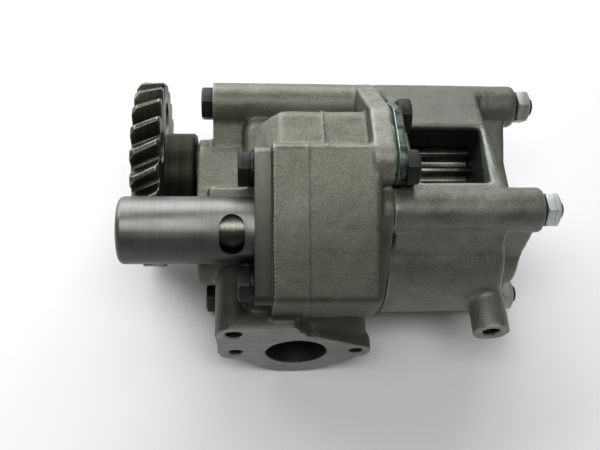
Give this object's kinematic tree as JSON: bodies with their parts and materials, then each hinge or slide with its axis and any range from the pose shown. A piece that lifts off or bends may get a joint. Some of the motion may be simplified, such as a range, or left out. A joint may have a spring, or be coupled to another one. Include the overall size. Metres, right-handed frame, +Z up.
{
  "type": "gear oil pump",
  "caption": "Two-stage engine gear oil pump with helical drive gear, tubular relief valve, scavenge window and flanged outlet.",
  "frame": {"origin": "centre of the oil outlet in the mounting face", "axes": "+X along the shafts from the drive gear to the scavenge end, -Y out of the mounting face, +Z up when the pump lies on its two underside port faces"},
  "size_m": [0.2306, 0.1551, 0.128],
  "materials": {
    "cast_iron_front": "blasted and oiled",
    "cast_iron_rear": "blasted and oiled",
    "separator_iron": "ground",
    "bronze": "bored",
    "gear_steel": "hobbed and oiled",
    "drive_gear_steel": "hobbed, dark",
    "shaft_steel": "ground",
    "black_steel": "black oxide",
    "grey_steel": "phosphated",
    "zinc_steel": "zinc plated",
    "cover_screw_steel": "black oxide",
    "plate_steel": "sawn and oiled",
    "tube_steel": "ground",
    "plunger_steel": "ground bright",
    "spring_steel": "oil tempered",
    "gasket": "fibre sheet"
  },
  "bodies": {
    "housing": {"front_body": "cast_iron_front", "scavenge_body": "cast_iron_rear", "separator_plate": "separator_iron", "front_bush": "bronze", "rear_bush": "bronze", "idler_shaft": "shaft_steel", "through_bolts": "black_steel", "through_nuts": "grey_steel", "nut_washers": "black_steel", "near_stud": "shaft_steel", "stud_nut": "zinc_steel", "valve_gasket": "gasket", "valve_plate": "plate_steel", "plate_screws": "black_steel", "plate_washers": "black_steel", "relief_valve_tube": "tube_steel", "relief_valve_spring": "spring_steel", "gallery_gasket": "gasket", "gallery_cover": "zinc_steel", "cover_screws": "cover_screw_steel"},
    "drive_train": {"drive_shaft": "shaft_steel", "shaft_keys": "shaft_steel", "drive_gear": "drive_gear_steel", "gear_retaining_washer": "black_steel", "gear_retaining_bolt": "black_steel", "thrust_washer": "shaft_steel", "pressure_drive_gear": "gear_steel", "scavenge_drive_gear": "gear_steel"},
    "pressure_idler": {"pressure_idler_gear": "gear_steel", "pressure_idler_bush": "bronze"},
    "scavenge_idler": {"scavenge_idler_gear": "gear_steel", "scavenge_idler_bush": "bronze"},
    "valve_plunger": {"relief_valve_plunger": "plunger_steel"}
  },
  "joints": [
    {"name": "drive_spin", "type": "hinge", "parent": "housing", "child": "drive_train", "pos_m": [0, 0.1017, 0.022], "axis": [1, 0, 0], "continuous": true},
    {"name": "pressure_idler_spin", "type": "hinge", "parent": "housing", "child": "pressure_idler", "pos_m": [0.0254, 0.0537, 0.022], "axis": [1, 0, 0], "continuous": true},
    {"name": "scavenge_idler_spin", "type": "hinge", "parent": "housing", "child": "scavenge_idler", "pos_m": [0.0751, 0.0537, 0.022], "axis": [1, 0, 0], "continuous": true},
    {"name": "relief_lift", "type": "slide", "parent": "housing", "child": "valve_plunger", "axis": [-1, 0, 0], "range_m": [0, 0.018], "stiffness_N_per_m": 4000, "springref_m": -0.01, "deforming": ["relief_valve_spring"]}
  ],
  "couplings": [
    {"joint": "pressure_idler_spin", "follows": "drive_spin", "ratio": -1},
    {"joint": "scavenge_idler_spin", "follows": "drive_spin", "ratio": -1}
  ]
}
